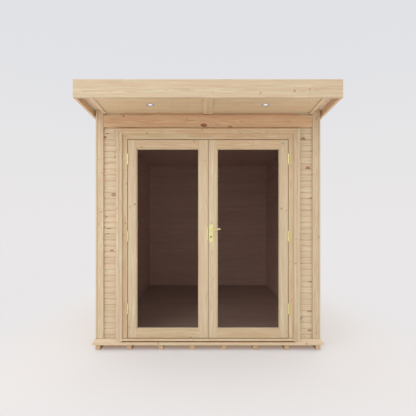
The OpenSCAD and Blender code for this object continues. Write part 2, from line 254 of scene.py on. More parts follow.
def added(name, data):
    """A new object in the scene."""
    made = bpy.data.objects.new(name, data)
    bpy.context.scene.collection.objects.link(made)
    return made


class Species:
    """What tells one kind of timber finish from another. Colours are 8-bit values."""

    streaks, rings = 0.5, 0.35
    knots, knot_radius, knot_length, knot_strength = 0.7, 9 * MM, 1.2, 0.5
    rough, relief = 0.55, 0.15

    def __init__(self, pale, warm, late, knot, light=(236, 220, 190), **changes):
        self.pale, self.warm, self.late = srgb(*pale), srgb(*warm), srgb(*late)
        self.knot, self.light = srgb(*knot), srgb(*light)
        vars(self).update(changes)


RING_PITCH = 4.2 * MM
KNOT_RATE = 9.0
KNOT_DEPTH = 72 * MM
KNOT_BEND = 1.6
# Lumps a metre along the grain, across it and out of it
WANDER, STREAK, PATCH = (1.1, 7, 7), (3.2, 60, 60), (1.4, 48, 48)
BROAD, FIBRE = (0.7, 9, 9), (14, 620, 620)


def log_places(g, from_node_axis):
    """Place within the log, and the board's tone, of each point. A CAD node has no boards, so it is
    one board whose grain runs along from_node_axis."""
    if from_node_axis is None:
        grain = g.node("Attribute", attribute_name=GRAIN).outputs["Vector"]
        tone = g.node("Attribute", attribute_name=TONE).outputs["Fac"]
        return grain, tone
    x, y, z = g.parts(g.place())
    order = (x, y, z) if from_node_axis == "x" else (y, x, z)
    return g.node("CombineXYZ", order).outputs[0], 0.5


def wood(name, kind, from_node_axis=None):
    """Timber with growth rings, streaks, fibres and knots that the rings bend round."""
    g = material(name)
    grain, tone = log_places(g, from_node_axis)
    along, across, out = g.parts(grain)
    wander, streak = g.noise(grain, WANDER, 3.0), g.noise(grain, STREAK, 4.0, 0.65)
    patch, broad = g.noise(grain, PATCH), g.noise(grain, BROAD)
    fibre = g.noise(grain, FIBRE, 2.0, 0.6)

    # The knots are cones from the pith, so their places are an angle round it and a length along it
    lump = g.line(g.noise(grain, 70.0), 0.05, -0.025)
    knot_along = g.line(along, KNOT_RATE / kind.knot_length, lump)
    knot_round = g.line(g.math("ARCTAN2", across, out), KNOT_RATE * KNOT_DEPTH, lump)
    knot_place = g.node("CombineXYZ", (knot_along, knot_round)).outputs[0]
    sockets = {"Vector": knot_place, "Scale": 1.0}
    cells = g.node("TexVoronoi", sockets, voronoi_dimensions="2D").outputs
    far = cells["Distance"]
    chance, depth = g.node("SeparateColor", (cells["Color"],)).outputs[:2]
    size = g.ease(chance, 1 - kind.knots, 1.0, 0.0, kind.knot_radius * KNOT_RATE)
    strength = g.line(depth, 0.6 * kind.knot_strength, 0.5 * kind.knot_strength)
    within = g.math("SUBTRACT", size, far)
    core, rim = g.ease(within, -0.004, 0.02), g.ease(within, -0.02, 0.0)
    heart = g.ease(within, 0.03, 0.06)
    halo = g.ease(g.math("DIVIDE", far, g.math("MAXIMUM", size, 0.004)), 3.6, 0.6)

    from_pith = g.scaled(grain, (0, 1, 1))
    radius = g.node("VectorMath", (from_pith,), operation="LENGTH").outputs["Value"]
    swing = g.line(wander, 9.0, g.product(halo, KNOT_BEND))
    ring = g.math("FRACT", g.line(radius, 1 / RING_PITCH, swing))
    late = g.product(g.ease(ring, 0.35, 0.9), g.ease(ring, 1.0, 0.93))

    colour = g.mix(g.ease(patch, 0.36, 0.64), kind.pale, kind.warm)
    for share, tint in (
        (g.ease(streak, 0.5, 0.72, 0.0, kind.streaks), kind.late),
        (g.ease(streak, 0.46, 0.28, 0.0, kind.streaks), kind.light),
        (g.ease(broad, 0.52, 0.8, 0.0, 0.18), kind.late),
        (g.product(late, kind.rings), kind.late),
        (g.product(g.ease(fibre, 0.52, 0.78), 0.12), kind.late),
        (g.product(rim, g.product(strength, 0.6)), kind.late),
        (g.product(core, strength), kind.knot),
        (g.product(heart, g.product(strength, 0.5)), kind.late),
    ):
        colour = g.mix(share, colour, tint)
    shade = g.node("MapRange", {0: tone, 3: 0.96, 4: 1.03}).outputs[0]
    grey = g.node("CombineColor", (shade, shade, shade)).outputs[0]
    colour = g.mix(1.0, colour, grey, "MULTIPLY")

    dull = g.line(late, -0.08, g.line(streak, 0.16, kind.rough - 0.08))
    height = g.line(fibre, 0.6, g.line(late, 0.5, core))
    return g.coat(colour, dull, g.bump(height, kind.relief * MM, 0.5))


def brass_look():
    """Polished brass with faint handling marks."""
    g = material("brass")
    place = g.place()
    cloud, rubbed = g.noise(place, 42.0, 3.0), g.noise(place, (900, 900, 90))
    colour = g.mix(g.ease(cloud, 0.3, 0.7), srgb(254, 250, 184), srgb(249, 240, 164))
    dull = g.line(rubbed, 0.14, g.line(cloud, 0.16, 0.14))
    return g.coat(colour, dull, g.bump(rubbed, 0.02 * MM, 0.4), Metallic=1.0)


def lock_metal_look():
    """Worn metal of the lock behind the keyhole."""
    g = material("lock_metal")
    worn = g.noise(g.place(), 160.0, 3.0)
    colour = g.mix(g.ease(worn, 0.35, 0.7), srgb(128, 114, 74), srgb(160, 142, 92))
    return g.coat(colour, g.line(worn, 0.3, 0.3), Metallic=1.0)


def rubber_look():
    """Matt rubber sheet with chalky patches, fine specks and shallow wrinkles across the fall."""
    g = material("roof_rubber")
    place = g.place()
    cloud, speck = g.noise(place, 2.4, 4.0, 0.6), g.noise(place, 420.0)
    wrinkle = g.noise(place, (2.2, 7.5, 5), 3.0)
    colour = g.mix(g.ease(cloud, 0.3, 0.75), srgb(58, 60, 62), srgb(76, 77, 78))
    colour = g.mix(g.ease(speck, 0.6, 0.75, 0.0, 0.5), colour, srgb(98, 99, 100))
    normal = g.bump(wrinkle, 2.5 * MM, 0.5, g.bump(speck, 0.1 * MM, 0.6))
    return g.coat(colour, g.line(cloud, 0.2, 0.62), normal)


GLASS_TINT = srgb(240, 234, 231)
GLASS_IOR = 1.12


def glass_look():
    """Clear glass with a faint warm tint, a little waviness and the haze of an uncleaned pane."""
    g = material("glass")
    place = g.place()
    haze = g.ease(g.noise(place, 5.0, 4.0), 0.5, 0.9, 0.0, 0.05)
    normal = g.bump(g.noise(place, (3, 3, 0.8), 1.0), 0.2 * MM, 0.3)
    clear = {"IOR": GLASS_IOR, "Transmission Weight": 1.0}
    pane = g.principled(GLASS_TINT, haze, normal, **clear)
    lit_through = g.node("BsdfTransparent", {"Color": GLASS_TINT}).outputs[0]
    lamp_ray = g.node("LightPath").outputs["Is Shadow Ray"]
    return g.surface(g.node("MixShader", (lamp_ray, pane, lit_through)).outputs[0])


def lamp_rim_look():
    """Satin-painted rim with a fine orange-peel surface."""
    g = material("lamp_rim")
    place = g.place()
    cloud = g.noise(place, 60.0)
    colour = g.mix(cloud, srgb(150, 156, 178), srgb(138, 144, 166))
    normal = g.bump(g.noise(place, 900.0), 0.04 * MM, 0.4)
    return g.coat(colour, g.line(cloud, 0.15, 0.28), normal)


def lamp_lens_look():
    """Opal lens with a lit look."""
    g = material("lamp_lens")
    cloud = g.noise(g.place(), 90.0)
    colour = g.mix(cloud, srgb(244, 246, 252), srgb(232, 236, 246))
    lit = {"Emission Color": colour, "Emission Strength": 0.42}
    return g.coat(colour, g.line(cloud, 0.1, 0.25), **lit)


PINE = Species((208, 194, 162), (211, 187, 158), (186, 154, 120), (146, 102, 78))
CLADDING = Species(
    (213, 200, 168), (217, 191, 164), (190, 156, 122), (136, 84, 64),
    knots=0.62, knot_radius=17 * MM, knot_length=1.7, knot_strength=0.88,
)
# Knotty, redder timber for the frieze. The knots are the timber's own; the redder colour is partly
# painted shade, and the over-door cladding and the frieze fillet, seen only in narrow gaps, wear it so
# that those gaps read as reddish shade
FRIEZE = Species(
    (214, 184, 148), (210, 172, 136), (180, 124, 88), (126, 60, 42),
    light=(224, 196, 158), knots=1.0, knot_radius=12 * MM, knot_length=3.0, knot_strength=0.9,
)
LINING = Species(
    (226, 200, 186), (218, 188, 172), (194, 160, 144), (160, 126, 110),
    light=(230, 208, 194), knot_strength=0.3,
)
FLOORING = Species(
    (186, 168, 156), (178, 158, 146), (152, 130, 118), (118, 96, 84),
    light=(192, 174, 162), knot_strength=0.3,
)
ROUGH = Species(
    (214, 192, 154), (212, 182, 146), (184, 146, 108), (140, 92, 68),
    rough=0.75, relief=0.5,
)
# Painted shade: dark red timber for the floor frame, which shows only through the notch under the sill,
# so that the shaded line there reads dark red
SHADE_RED_TIMBER = Species(
    (180, 94, 62), (170, 84, 54), (146, 72, 46), (112, 54, 36),
    rough=0.75, relief=0.5,
)
# Painted bounce light: a warmer, redder copy of the planed pine for the side fascias, standing for the
# warm light bounced onto their shaded inner faces
EAVES = Species((219, 194, 159), (220, 186, 151), (194, 151, 114), (150, 100, 74))
# Painted shade: a darker, more orange copy of the planed pine for the door frame, head architrave and
# door rails, standing for the shade they lie in under the canopy and beside the architraves
SHADE_PAINTED_PINE = Species((206, 187, 151), (209, 180, 147), (184, 147, 109), (144, 98, 72))
# Painted light: a paler copy of the planed pine for the sheltered soffit, skirt and sill, which
# lightens these shaded boards as if more light reached them
LIGHT_PAINTED_PINE = Species((219, 203, 169), (222, 197, 165), (198, 163, 126), (154, 108, 82))
SHEATHING = Species((238, 222, 202), (234, 213, 190), (202, 170, 142), (160, 120, 94))

planed = wood("planed_wood", PINE)
knotty_shade_red = wood("knotty_shade_red_planed_wood", FRIEZE)
shade_painted = wood("shade_painted_planed_wood", SHADE_PAINTED_PINE)
bounce_painted_wood = wood("bounce_painted_planed_wood", EAVES)
pale = wood("light_painted_planed_wood", LIGHT_PAINTED_PINE)
cladding = wood("cladding", CLADDING)
lining = wood("lining_wood", LINING)
flooring = wood("floor_wood", FLOORING)
rough_timber = wood("rough_timber", ROUGH)
panel = wood("insulated_panel", SHEATHING)
frame_shade_red = wood("floor_frame_shade_red", SHADE_RED_TIMBER, "x")
deck_timber = wood("roof_deck_timber", SHEATHING, "y")
brass = brass_look()
lock_metal = lock_metal_look()
rubber = rubber_look()
glass = glass_look()
lamp_rim = lamp_rim_look()
lamp_lens = lamp_lens_look()


# ---- Making meshes ----


def oblong(low, high):
    """Outline of a plain board between two corners."""
    return [(low[0], low[1]), (high[0], low[1]), (high[0], high[1]), (low[0], high[1])]


def grooved(a0, a1, back, face, groove, depth):
    """Outline of a board whose long edges are chamfered, so that it makes V joints with the next."""
    shoulder = face - depth
    chamfers = [(a1, shoulder), (a1 - groove, face), (a0 + groove, face), (a0, shoulder)]
    return [(a0, back), (a1, back)] + chamfers


def courses(low, high, pitch, joint):
    """(start, end) of each board that fills a span with joints at every pitch from one place."""
    first = joint + ceil((low + SMALLEST_BOARD - joint) / pitch) * pitch
    count = max(0, floor((high - SMALLEST_BOARD - first) / pitch) + 1)
    edges = [low] + [first + i * pitch for i in range(count)] + [high]
    return [(a + BOARD_GAP / 2, b - BOARD_GAP / 2) for a, b in zip(edges, edges[1:])]


def cut_of(cut):
    """(place, per unit across, per unit out) of a cut that may be a plain place along the board."""
    return cut if isinstance(cut, tuple) else (cut, 0.0, 0.0)


def outward(bm):
    bmesh.ops.recalc_face_normals(bm, faces=bm.faces[:])


def skin(bm, rings):
    """Closes rings of corners, one behind the other, into a solid."""
    for a, b in zip(rings, rings[1:]):
        for i in range(len(a)):
            bm.faces.new((a[i - 1], a[i], b[i], b[i - 1]))
    bm.faces.new(rings[0][::-1])
    bm.faces.new(rings[-1])
    outward(bm)
    return bm


def prism(outline, start, end):
    """Board in its own axes: along, across and out. Its cross-section is (across, out) points."""
    bm = bmesh.new()
    rings = []
    for at, per_across, per_out in (cut_of(start), cut_of(end)):
        points = [(at + per_across * a + per_out * b, a, b) for a, b in outline]
        rings.append([bm.verts.new(p) for p in points])
    bm.faces.new(rings[0])
    bm.faces.new(rings[1][::-1])
    for i in range(len(outline)):
        bm.faces.new((rings[0][i - 1], rings[1][i - 1], rings[1][i], rings[0][i]))
    outward(bm)
    return bm


def trim(bm, point, normal):
    """Cuts off what is on the normal's side of a plane, and closes the cut."""
    plane = {"plane_co": point, "plane_no": normal, "clear_outer": True, "dist": 1e-6}
    cut = bmesh.ops.bisect_plane(bm, geom=bm.verts[:] + bm.edges[:] + bm.faces[:], **plane)
    edges = [e for e in cut["geom_cut"] if isinstance(e, bmesh.types.BMEdge) and e.is_boundary]
    if edges:
        bmesh.ops.holes_fill(bm, edges=edges)
        outward(bm)


def rounded(bm, radius):
    """Rounds the edges where two faces meet at a clear angle."""
    edges = [e for e in bm.edges if e.is_manifold and e.calc_face_angle() > SHARP]
    how = {"segments": EASE_STEPS, "profile": 0.5, "affect": "EDGES", "clamp_overlap": True}
    bmesh.ops.bevel(bm, geom=edges, offset=radius, **how)


class Piece:
    """Solids gathered into one mesh object."""

    def __init__(self, name):
        self.name = name
        self.random = random.Random(name)
        self.points, self.faces, self.smooth = [], [], []
        self.grain, self.tone = [], []

    def take(self, bm, place, log=(0, 0, 0), tone=0.5, smooth=False):
        """Adds a solid made in its own axes, and frees it."""
        first = len(self.points)
        turned_inside_out = place.determinant() < 0
        bm.verts.index_update()
        for v in bm.verts:
            self.points.append(place @ v.co)
            self.grain.append(v.co + Vector(log))
            self.tone.append(tone)
        for f in bm.faces:
            corners = [first + v.index for v in f.verts]
            self.faces.append(corners[::-1] if turned_inside_out else corners)
            self.smooth.append(smooth)
        bm.free()

    def log_for(self, outline):
        """Where the pith lies: some way behind the board's face and a little to one side."""
        middle = sum(a for a, b in outline) / len(outline)
        face = max(b for a, b in outline)
        aside = self.random.uniform(-PITH_ASIDE, PITH_ASIDE) * PITH_NEAR
        behind = self.random.uniform(PITH_NEAR, PITH_FAR)
        return Vector((self.random.uniform(0, LOG_LENGTH), aside - middle, behind - face))

    def board(self, axes, outline, start, end, ease=EASE, under=None, log=None, tone=None):
        """Adds a board and returns its log and tone, which a board of the same plank is given. Axes
        are the directions along its grain, across its face and out of it; under is a plane (point,
        normal) that it is cut off at."""
        log = log or self.log_for(outline)
        tone = self.random.random() if tone is None else tone
        place = Matrix(axes).transposed()
        bm = prism(outline, start, end)
        if under is not None:
            trim(bm, *(place.transposed() @ v for v in under))
        if ease and bm.faces:
            rounded(bm, ease)
        self.take(bm, place.to_4x4(), log, tone)
        return {"log": log, "tone": tone}

    def boarding(self, axes, across, pitch, joint, section, along, **how):
        """Adds boards with V joints that fill a span across. The section is what grooved() takes
        besides a board's edges; along is where each board starts and ends."""
        for a0, a1 in courses(*across, pitch, joint):
            self.board(axes, grooved(a0, a1, *section), *along, **how)

    def timber(self, look, *nodes, body="root"):
        """Makes the object in planed wood."""
        self.finish("planed_wood", look, *nodes, body=body)

    def finish(self, slot, look, *nodes, body="root"):
        """Makes the object, which rides on a body and stands for the CAD nodes."""
        mesh = bpy.data.meshes.new(self.name)
        mesh.from_pydata(self.points, [], self.faces)
        mesh.polygons.foreach_set("use_smooth", self.smooth)
        grain = mesh.attributes.new(GRAIN, "FLOAT_VECTOR", "POINT")
        grain.data.foreach_set("vector", [c for v in self.grain for c in v])
        tone = mesh.attributes.new(TONE, "FLOAT", "POINT")
        tone.data.foreach_set("value", self.tone)
        mesh.materials.append(look)
        mesh.update()
        made = added(self.name, mesh)
        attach(made, body)
        if nodes:
            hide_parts(*nodes)


# ---- Walls ----

FRONT_WALL = (RIGHT, UP, FRONT)
BACK_WALL = (LEFT, UP, BACK)
LEFT_WALL = (BACK, UP, LEFT)
RIGHT_WALL = (BACK, UP, RIGHT)


def roof_plane(rise):
    """Plane parallel to the roof, at a height above the fascia's bottom edge."""
    return Vector((0, 0, eaves(0) + rise)), OFF_ROOF


def wall(name, axes, look):
    """Cladding, core and lining of a wall."""
    along, up, out = axes
    ends, height = span(name, along), span(name, up)
    inner, face = span(name, out)
    core_face, core_back = face - CLADDING_T, inner + LINING_T
    under = roof_plane(DECK_RISE - SEAT)
    boards = Piece(name + "_cladding")
    section = core_face, face, *CLADDING_V
    how = {"ease": 0.7 * MM, "under": under}
    boards.boarding(axes, height, CLADDING_PITCH, CLADDING_JOINT, section, ends, **how)
    boards.finish("cladding", look, name)

    core = Piece(name + "_core")
    core.board(axes, oblong((height[0], core_back), (height[1], core_face)), *ends, under=under)
    core.finish("insulated_panel", panel)

    boards = Piece(name + "_lining")
    section = -core_back, -inner, *LINING_V
    how = {"ease": 0.6 * MM, "under": under}
    boards.boarding((along, up, -out), height, LINING_PITCH, height[0], section, ends, **how)
    boards.finish("lining_wood", lining)


def walls():
    wall("front_wall_left", FRONT_WALL, cladding)
    wall("front_wall_right", FRONT_WALL, cladding)
    # Painted shade: the cladding over the door shows only in narrow gaps, and the redder knotty wood
    # makes them read as reddish shade
    wall("front_wall_over_door", FRONT_WALL, knotty_shade_red)
    wall("back_wall", BACK_WALL, cladding)
    wall("left_wall", LEFT_WALL, cladding)
    wall("right_wall", RIGHT_WALL, cladding)


def corner_trims():
    """Two strips at each corner, one on each face, cut to the fall of the roof."""
    how = {"ease": STRIP_EASE, "under": roof_plane(DECK_RISE - SEAT)}
    ends = SKIRT_TOP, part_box("front_corner_trims")[1].z
    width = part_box("frieze_board")[1].x
    faces = (("front", FRONT, -WALL_Y), ("back", BACK, REAR_Y))
    for name, out, face in faces:
        strips = Piece(name + "_corner_strips")
        outline = oblong((width, face - CLAD), (HALF_W - CLAD, face))
        for side in SIDES:
            strips.board((UP, side, out), outline, *ends, **how)
        strips.timber(planed, name + "_corner_trims")
    strips = Piece("side_corner_strips")
    for side in SIDES:
        for name, out, face in faces:
            outline = oblong((face - HALF_W + width, HALF_W - CLAD), (face, HALF_W))
            strips.board((UP, out, side), outline, *ends, **how)
    strips.timber(planed, "side_corner_trims")


def frieze():
    low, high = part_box("frieze_board")
    board = Piece("frieze")
    board.board(FRONT_WALL, oblong((low.z, -high.y), (high.z, -low.y)), low.x, high.x)
    # The frieze board's knots are its own; its redder colour is partly painted canopy shade
    board.timber(knotty_shade_red, "frieze_board")

    arch_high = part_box("head_architrave")[1]
    fillet = Piece("frieze_fillet")
    outline = oblong((arch_high.z, -CLAD_Y), (low.z, -CLAD_Y + FILLET_T))
    fillet.board(FRONT_WALL, outline, -arch_high.x, arch_high.x, ease=0.3 * MM)
    # The fillet takes the redder knotty wood, which paints reddish shade in the gap over the head
    # architrave
    fillet.timber(knotty_shade_red)


# ---- Floor and skirt ----


def bearers():
    low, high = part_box("floor_bearers")
    pitch = (high.x - low.x - BEARER_W) / (BEARERS - 1)
    timbers = Piece("bearers")
    for i in range(BEARERS):
        x = low.x + i * pitch
        outline = oblong((x, low.z), (x + BEARER_W, high.z))
        timbers.board((BACK, RIGHT, UP), outline, low.y, high.y, ease=2.5 * MM)
    timbers.finish("rough_timber", rough_timber, "floor_bearers")


def floor_boards():
    low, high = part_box("floor_boards")
    axes = RIGHT, BACK, UP
    boards = Piece("floor_boarding")
    section = low.z, high.z, *FLOOR_V
    ends = -ROOM_HALF, ROOM_HALF
    boards.boarding(axes, (INNER_Y, high.y), FLOOR_PITCH, INNER_Y, section, ends, ease=0.4 * MM)
    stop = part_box("door_jambs")[1].x - JAMB_T
    boards.board(axes, oblong((low.y, low.z), (INNER_Y, high.z)), -stop, stop, ease=1 * MM)
    boards.finish("floor_wood", flooring, "floor_boards")


def skirt_outline(face, top=SKIRT_TOP):
    """Cross-section of the skirt against a wall whose trims are a distance from the origin. The
    board leans outwards; its top is level back to the cladding and its nose is plumb."""
    thick = SKIRT_T / cos(SKIRT_LEAN)
    lean = tan(SKIRT_LEAN)
    nose_z = SKIRT_TOP - SKIRT_OUT / lean
    if top < SKIRT_TOP:
        outer = (SKIRT_TOP - top) * lean
        head = [(top, face + outer - thick), (top, face + outer)]
    else:
        back_z = SKIRT_TOP - (thick - CLAD) / lean
        head = [(back_z, face - CLAD), (SKIRT_TOP, face - CLAD), (SKIRT_TOP, face)]
    foot_in = (SKIRT_TOP - SKIRT_LOW) * lean - thick
    foot = [(nose_z, face + SKIRT_OUT), (SKIRT_LOW, face + SKIRT_OUT), (SKIRT_LOW, face + foot_in)]
    return head + foot


def skirt_ends(start, end, face):
    """Mitres of a skirt board at the corners of a wall whose trims are a distance from the origin."""
    return (start + face, 0.0, -1.0), (end - face, 0.0, 1.0)


def skirt():
    """Skirt boards mitred at the corners. The front one is cut down under the door frame."""
    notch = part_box("door_jambs")[1].x
    front = Piece("skirt_front_board")
    face = -WALL_Y
    start, end = skirt_ends(-HALF_W, HALF_W, face)
    low_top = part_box("floor_frame")[1].z - SKIRT_NOTCH
    plank = front.board(FRONT_WALL, skirt_outline(face), start, -notch)
    front.board(FRONT_WALL, skirt_outline(face, low_top), -notch, notch, **plank)
    front.board(FRONT_WALL, skirt_outline(face), notch, end, **plank)
    # The skirt takes the paler copy of the pine, which paints light onto these sheltered boards
    front.timber(pale, "skirt_front")

    back, sides = Piece("skirt_back_board"), Piece("skirt_side_boards")
    back.board(BACK_WALL, skirt_outline(REAR_Y), *skirt_ends(-HALF_W, HALF_W, REAR_Y))
    # The back and side skirt boards take the paler copy too, which paints light onto them
    back.timber(pale, "skirt_back")
    for axes in (LEFT_WALL, RIGHT_WALL):
        sides.board(axes, skirt_outline(HALF_W), *skirt_ends(WALL_Y, REAR_Y, HALF_W))
    sides.timber(pale, "skirt_sides")


# ---- Roof ----


def fascias():
    for name, axes in (("front_fascia", FRONT_WALL), ("back_fascia", BACK_WALL)):
        low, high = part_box(name)
        face = span(name, axes[2])[1]
        board = Piece(name + "_board")
        outline = oblong((low.z, face - FASCIA_T), (high.z, face))
        board.board(axes, outline, low.x, high.x, ease=FASCIA_EASE)
        board.timber(planed, name)
    boards = Piece("side_fascia_boards")
    outline = oblong((off_roof(0), ROOF_HALF - FASCIA_T), (off_roof(FASCIA_H), ROOF_HALF))
    plumb = [(y / cos(FALL), -SLOPE, 0.0) for y in (FRONT_Y + FASCIA_T, BACK_Y - FASCIA_T)]
    for side in SIDES:
        boards.board((DOWN_ROOF, OFF_ROOF, side), outline, *plumb, ease=FASCIA_EASE)
    # The side fascias take the warmer copy, which paints bounce light on their shaded inner faces
    boards.timber(bounce_painted_wood, "side_fascias")


def soffit():
    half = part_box("soffit_boards")[1].x
    rise = under_rise("soffit_boards")
    thick = top_rise("soffit_boards") - rise
    ends = roof_span("soffit_boards", rise, SEAT)
    back, face, strip_face = (-off_roof(rise + i * thick) for i in (1, 0, -1))
    boards, strips = Piece("soffit_boarding"), Piece("soffit_strips")
    section = back, face, *SOFFIT_V
    for side in SIDES:
        axes = side, DOWN_ROOF, UNDER_ROOF
        boards.boarding(axes, ends, SOFFIT_PITCH, ends[1], section, (SOFFIT_SPLIT, half), ease=0.5 * MM)
    # The soffit boards take the paler copy of the pine, which paints light onto the shaded underside
    boards.timber(pale, "soffit_boards")
    for side in SIDES:
        for x0, x1 in ((BOARD_GAP, SOFFIT_MIDDLE_HALF), (half - SOFFIT_STRIP_W, half)):
            outline = oblong((x0, face), (x1, strip_face))
            strips.board((DOWN_ROOF, side, UNDER_ROOF), outline, *ends)
    # The soffit strips take the paler copy too, which paints light onto the shaded underside
    strips.timber(pale, "soffit_trims")


def ceiling():
    low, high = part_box("ceiling_panel")
    rise = under_rise("ceiling_panel")
    ends, across = roof_span("ceiling_panel", rise, LOOSE), (low.x, high.x)
    face = -off_roof(rise)
    back = face - LINING_T
    axes = RIGHT, DOWN_ROOF, UNDER_ROOF
    boards = Piece("ceiling_lining")
    section = back, face, *LINING_V
    boards.boarding(axes, ends, LINING_PITCH, ends[0], section, across, ease=0.6 * MM)
    boards.finish("lining_wood", lining, "ceiling_panel")
    core = Piece("ceiling_core")
    core.board(axes, oblong((ends[0], -off_roof(DECK_RISE - SEAT)), (ends[1], back)), *across)
    core.finish("insulated_panel", panel)


COVER_T, COVER_LAP, COVER_STEP = 3 * MM, 60 * MM, 1.5 * MM
TURN_UP, TURN_UP_T, COVE = 5 * MM, 1.5 * MM, 6 * MM
COVE_MIDDLE = (2.5 * MM, 2 * MM)


def covering():
    """Rubber sheet dressed up against the fascias, with its lap near the middle."""
    low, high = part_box("roof_covering")
    deck = off_roof(top_rise("roof_deck"))
    top = deck + COVER_T
    start, end = roof_span("roof_covering", top_rise("roof_deck"), LOOSE)
    across = RIGHT, DOWN_ROOF, OFF_ROOF
    sheet = Piece("rubber_covering")
    sheet.board(across, oblong((start, deck), (end, top)), low.x, high.x)
    flat, brim = COVER_T, COVER_T + TURN_UP
    curve = (COVE_MIDDLE[0], flat + COVE_MIDDLE[1])
    rim = [(0, flat), (0, brim), (TURN_UP_T, brim), curve, (COVE, flat)]
    for side in SIDES:
        outline = [(high.x - w, deck + h) for w, h in rim]
        sheet.board((DOWN_ROOF, side, OFF_ROOF), outline, start, end, ease=0.4 * MM)
    for edge, inward in ((start, 1), (end, -1)):
        outline = [(edge + inward * w, deck + h) for w, h in rim]
        sheet.board(across, outline, low.x, high.x, ease=0.4 * MM)
    middle = (start + end) / 2
    outline = [(middle, top), (middle + COVER_LAP, top), (middle, top + COVER_STEP)]
    sheet.board(across, outline, low.x + COVE, high.x - COVE, ease=0.2 * MM)
    sheet.finish("roof_rubber", rubber, "roof_covering")


# ---- Round and flat metal parts ----


def lathe(profile, steps):
    """Solid turned about Z from (radius, height) points, which end on the axis or where they start."""
    bm = bmesh.new()
    points = [bm.verts.new((r, 0, z)) for r, z in profile]
    edges = [bm.edges.new(pair) for pair in zip(points, points[1:])]
    turn = {"cent": (0, 0, 0), "axis": (0, 0, 1), "angle": 2 * pi, "steps": steps}
    bmesh.ops.spin(bm, geom=points + edges, use_merge=True, **turn)
    bmesh.ops.remove_doubles(bm, verts=bm.verts[:], dist=1e-7)
    outward(bm)
    return bm


def sized(points, radius, rise):
    """(radius, height) points from their shares of both."""
    return [(r * radius, z * rise) for r, z in points]


def disc(radius, rise, steps):
    return lathe(sized(((0, 0), (1, 0), (1, 1), (0, 1)), radius, rise), steps)


def rounded_oblong(width, height, corner, steps=5):
    """Outline of an oblong about the origin with round corners."""
    points = []
    for turn, (x, y) in enumerate(((1, 1), (-1, 1), (-1, -1), (1, -1))):
        cx, cy = x * (width / 2 - corner), y * (height / 2 - corner)
        for angle in (radians(90 * (turn + i / steps)) for i in range(steps + 1)):
            points.append((cx + corner * cos(angle), cy + corner * sin(angle)))
    return points


def plate(width, height, thick, corner, ease):
    """Flat plate on the XY plane, which rises along Z."""
    bm = bmesh.new()
    outline = rounded_oblong(width, height, corner)
    rings = [[bm.verts.new((x, y, z)) for x, y in outline] for z in (0, thick)]
    bm.faces.new(rings[0][::-1])
    bm.faces.new(rings[1])
    for i in range(len(outline)):
        bm.faces.new((rings[0][i - 1], rings[0][i], rings[1][i], rings[1][i - 1]))
    top = [e for e in bm.edges if all(v.co.z > thick / 2 for v in e.verts)]
    bmesh.ops.bevel(bm, geom=top, offset=ease, segments=PLATE_STEPS, profile=0.5, affect="EDGES")
    outward(bm)
    return bm


def facing(point, out, up=UP):
    """Placing whose Z points out and whose Y points up, at a point."""
    turn = Matrix((up.cross(out).normalized(), up, out)).transposed().to_4x4()
    return Matrix.Translation(point) @ turn


SCREW_R, SCREW_RISE, SCREW_TURN = 3.6 * MM, 0.9 * MM, 0.6
SCREW_SLOT, SCREW_FLOOR = 0.5 * MM, 0.3 * MM
SCREW_DOME = ((0, 0), (1, 0), (1, 0.25), (0.75, 0.75), (0.4, 1), (0, 1))


def screw(piece, place, radius=SCREW_R):
    """Slotted screw head: a dome in two halves on a lower disc."""
    for side in (-1, 1):
        bm = lathe(sized(SCREW_DOME, radius, SCREW_RISE), SCREW_ROUND)
        trim(bm, Vector((side * SCREW_SLOT, 0, 0)), Vector((-side, 0, 0)))
        piece.take(bm, place @ Matrix.Rotation(SCREW_TURN, 4, "Z"))
    piece.take(disc(0.9 * radius, SCREW_FLOOR, SCREW_ROUND), place)


def tube(path, radii, sides=16):
    """Round bar along points, with a radius at each."""
    bm = bmesh.new()
    rings = []
    for i, point in enumerate(path):
        ahead = path[min(i + 1, len(path) - 1)] - path[max(i - 1, 0)]
        side = radii[i] * ahead.cross(FRONT).normalized()
        other = radii[i] * ahead.cross(side).normalized()
        turns = [2 * pi * k / sides for k in range(sides)]
        rings.append([bm.verts.new(point + cos(a) * side + sin(a) * other) for a in turns])
    return skin(bm, rings)


LAMP_R, LAMP_DEPTH = 35 * MM, 3 * MM
LAMP_RIM = ((0.62, 0), (1, 0), (0.985, 0.5), (0.94, 0.85), (0.86, 1), (0.74, 0.8), (0.62, 0.3))
LAMP_LENS = ((0, 0), (0.63, 0), (0.61, 0.25), (0.35, 0.35), (0, 0.4))


def downlights():
    """Painted rim round an opal lens, flat against the soffit."""
    low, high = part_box("downlights")
    x, y = high.x - LAMP_R, (low.y + high.y) / 2
    z = eaves(y) + under_rise("soffit_boards")
    rim, lens = Piece("downlight_rims"), Piece("downlight_lenses")
    for side in (-1, 1):
        place = facing((side * x, y, z), UNDER_ROOF, DOWN_ROOF)
        for piece, profile in ((rim, LAMP_RIM + LAMP_RIM[:1]), (lens, LAMP_LENS)):
            piece.take(lathe(sized(profile, LAMP_R, LAMP_DEPTH), LAMP_ROUND), place, smooth=True)
    rim.finish("lamp_rim", lamp_rim, "downlights")
    lens.finish("lamp_lens", lamp_lens)


# ---- Door frame ----


